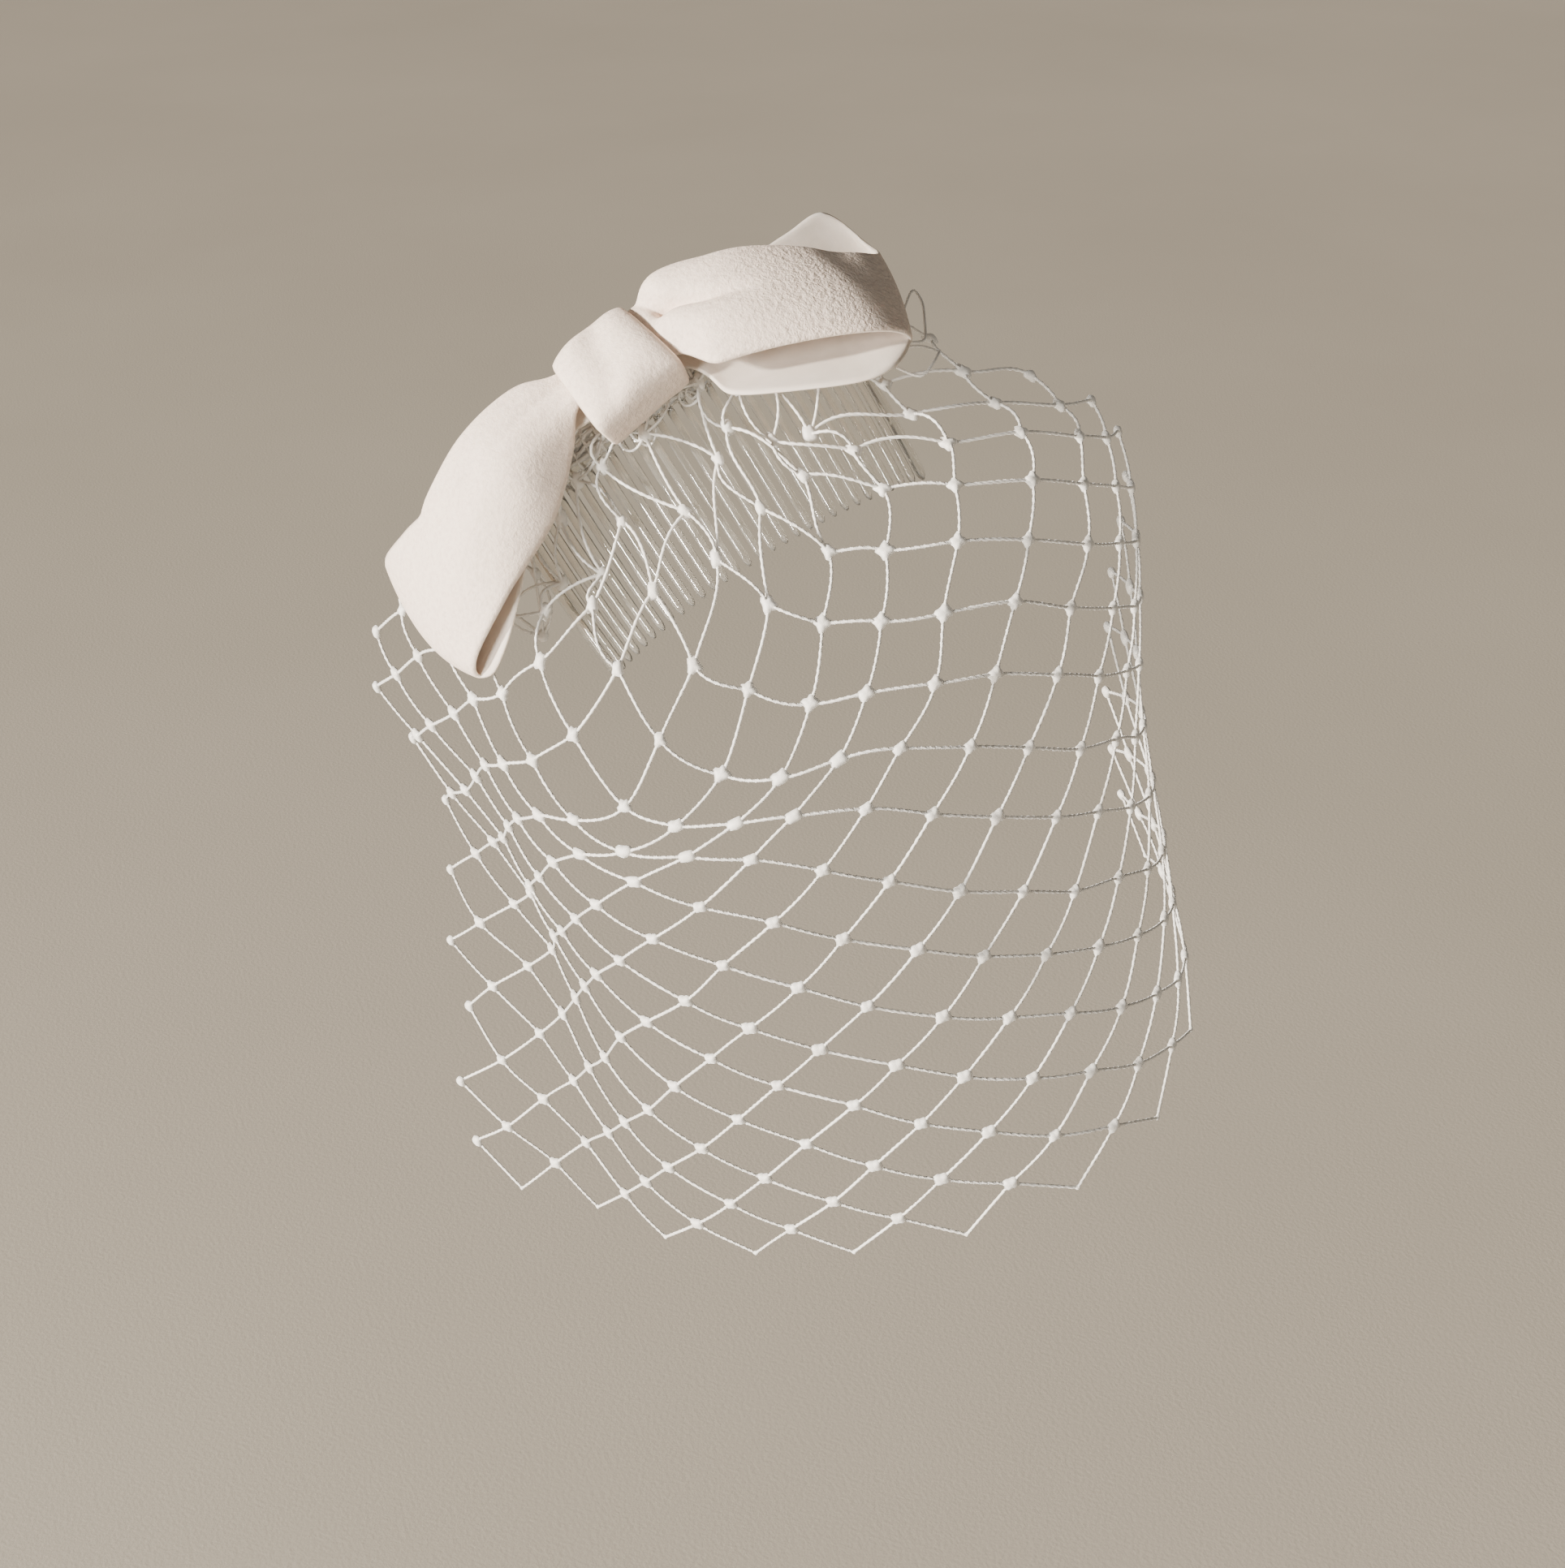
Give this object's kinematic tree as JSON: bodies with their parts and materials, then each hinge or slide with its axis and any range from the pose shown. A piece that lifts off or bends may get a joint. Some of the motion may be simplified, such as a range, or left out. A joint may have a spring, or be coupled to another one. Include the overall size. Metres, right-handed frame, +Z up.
{
  "type": "birdcage veil",
  "caption": "Wide-mesh diamond net gathered onto a clear hair comb and draped over the face to the chin, with a velvet ribbon bow sewn over the gathers.",
  "frame": {"origin": "middle of the comb's spine, where the comb is pushed into the hair above the wearer's right temple", "axes": "+Z up as worn, -Y the way the wearer faces, +X towards the wearer's left"},
  "size_m": [0.1836, 0.123, 0.251],
  "materials": {
    "comb": "clear, glossy",
    "net": "soft twisted white thread",
    "ribbon": "short velvet pile"
  },
  "bodies": {
    "root": {"hair_comb": "comb", "veil_net": "net", "bow_left_loop": "ribbon", "bow_right_loop": "ribbon", "bow_knot": "ribbon"}
  },
  "joints": []
}
